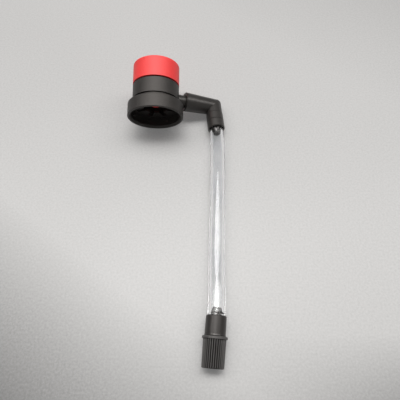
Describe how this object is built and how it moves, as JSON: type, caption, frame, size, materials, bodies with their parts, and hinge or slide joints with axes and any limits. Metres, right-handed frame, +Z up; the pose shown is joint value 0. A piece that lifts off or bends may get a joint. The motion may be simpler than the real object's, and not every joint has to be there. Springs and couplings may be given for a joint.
{
  "type": "aerosol_actuator_with_tyre_valve_hose",
  "caption": "Push-button spray-can head with snap-fit skirt, swivelling elbow, clear hose and knurled screw-on tyre-valve connector, lying on its side.",
  "frame": {"origin": "centre of the bounding box's bottom face, of the head without the hose and what hangs on it", "axes": "+X towards the spout side, the longest extent of the head; +Z up from the bench; -Y the way the hose runs"},
  "size_m": [0.0644, 0.1906, 0.041],
  "materials": {
    "black_moulding": "satin black polypropylene",
    "black_acetal": "semi-gloss black acetal",
    "red_moulding": "glossy red polypropylene",
    "clear_pvc": "clear plasticised PVC",
    "seal_rubber": "black nitrile rubber",
    "white_acetal": "natural white acetal"
  },
  "bodies": {
    "head": {"housing": "black_moulding"},
    "button": {"button_cap": "red_moulding", "spout_nipple": "black_acetal", "spout_o_ring": "seal_rubber"},
    "elbow_and_hose": {"elbow": "black_moulding", "elbow_ferrule": "black_acetal", "hose": "clear_pvc", "connector_tail": "black_acetal", "connector_ferrule": "black_moulding", "valve_washer": "seal_rubber", "core_pin": "white_acetal"},
    "nut": {"knurled_nut": "black_acetal"}
  },
  "joints": [
    {"name": "button_press", "type": "slide", "parent": "head", "child": "button", "axis": [0, -0.9724, -0.2334], "range_m": [0, 0.001]},
    {"name": "elbow_swivel", "type": "hinge", "parent": "button", "child": "elbow_and_hose", "pos_m": [0.02468, 0.00152, 0.00575], "axis": [-0.9247, -0.0889, 0.3702], "continuous": true},
    {"name": "nut_spin", "type": "hinge", "parent": "elbow_and_hose", "child": "nut", "pos_m": [0.02424, -0.14159, 0.00771], "axis": [-0.0887, -0.9939, -0.0662], "continuous": true}
  ]
}
